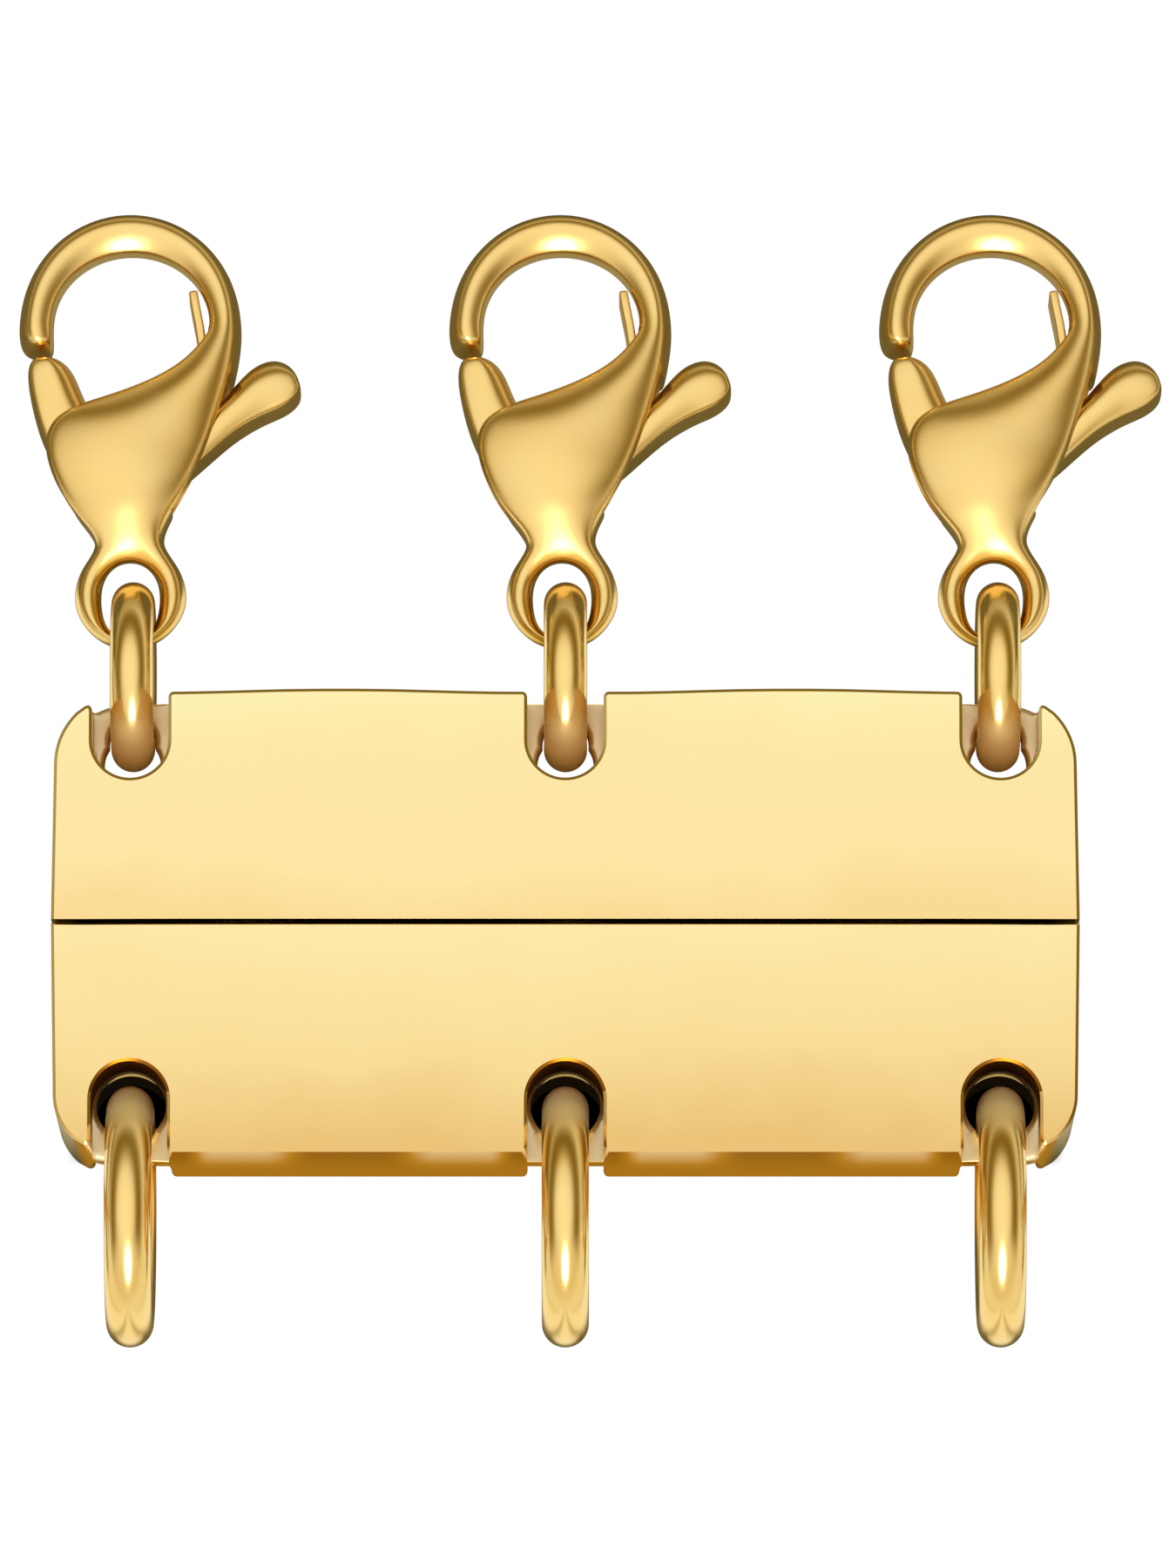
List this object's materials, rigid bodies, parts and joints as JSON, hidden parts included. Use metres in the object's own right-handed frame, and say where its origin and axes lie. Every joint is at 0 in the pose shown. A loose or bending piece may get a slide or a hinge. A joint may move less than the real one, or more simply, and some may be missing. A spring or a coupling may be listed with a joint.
{
  "type": "magnetic necklace layering clasp",
  "caption": "Magnetic bar clasp in two halves that joins layered necklaces: lobster claws on jump rings along one edge, open jump rings along the other.",
  "frame": {"origin": "the middle of the seam between the bar's halves, at the middle of the bar's thickness", "axes": "+X along the bar to the right in the picture, +Y towards the lobster claws, +Z out of the front; the clasp lies on its back"},
  "size_m": [0.0263, 0.0263, 0.006],
  "materials": {
    "bar": "polished gold-plated stainless steel",
    "claw": "polished gold-plated casting",
    "ring": "polished gold-plated wire",
    "spring": "gold-plated spring strip",
    "magnet": "nickel-plated"
  },
  "bodies": {
    "upper_half": {"claw_1": "claw", "claw_2": "claw", "claw_3": "claw", "pivot_1": "claw", "pivot_2": "claw", "pivot_3": "claw", "small_ring_1": "ring", "small_ring_2": "ring", "small_ring_3": "ring", "spring_1": "spring", "spring_2": "spring", "spring_3": "spring", "upper_bar": "bar", "upper_magnet_1": "magnet", "upper_magnet_2": "magnet", "upper_magnet_3": "magnet"},
    "lower_half": {"large_ring_1": "ring", "large_ring_2": "ring", "large_ring_3": "ring", "lower_bar": "bar", "lower_magnet_1": "magnet", "lower_magnet_2": "magnet", "lower_magnet_3": "magnet"},
    "claw_lever_1": {"lever_1": "claw"},
    "claw_lever_2": {"lever_2": "claw"},
    "claw_lever_3": {"lever_3": "claw"}
  },
  "joints": [
    {"name": "lever_1_pivot", "type": "hinge", "parent": "upper_half", "child": "claw_lever_1", "pos_m": [-0.0099, 0.01048, -0.00078], "axis": [0, -0.102, -0.9948], "range_deg": [0, 30], "stiffness_Nm_per_rad": 0.005, "springref_deg": -20.05},
    {"name": "lever_2_pivot", "type": "hinge", "parent": "upper_half", "child": "claw_lever_2", "pos_m": [0.0001, 0.01048, -0.00078], "axis": [0, -0.102, -0.9948], "range_deg": [0, 30], "stiffness_Nm_per_rad": 0.005, "springref_deg": -20.05},
    {"name": "lever_3_pivot", "type": "hinge", "parent": "upper_half", "child": "claw_lever_3", "pos_m": [0.0101, 0.01048, -0.00078], "axis": [0, -0.102, -0.9948], "range_deg": [0, 30], "stiffness_Nm_per_rad": 0.005, "springref_deg": -20.05},
    {"name": "halves_apart", "type": "slide", "parent": "upper_half", "child": "lower_half", "axis": [0, -1, 0], "range_m": [0, 0.01]}
  ]
}
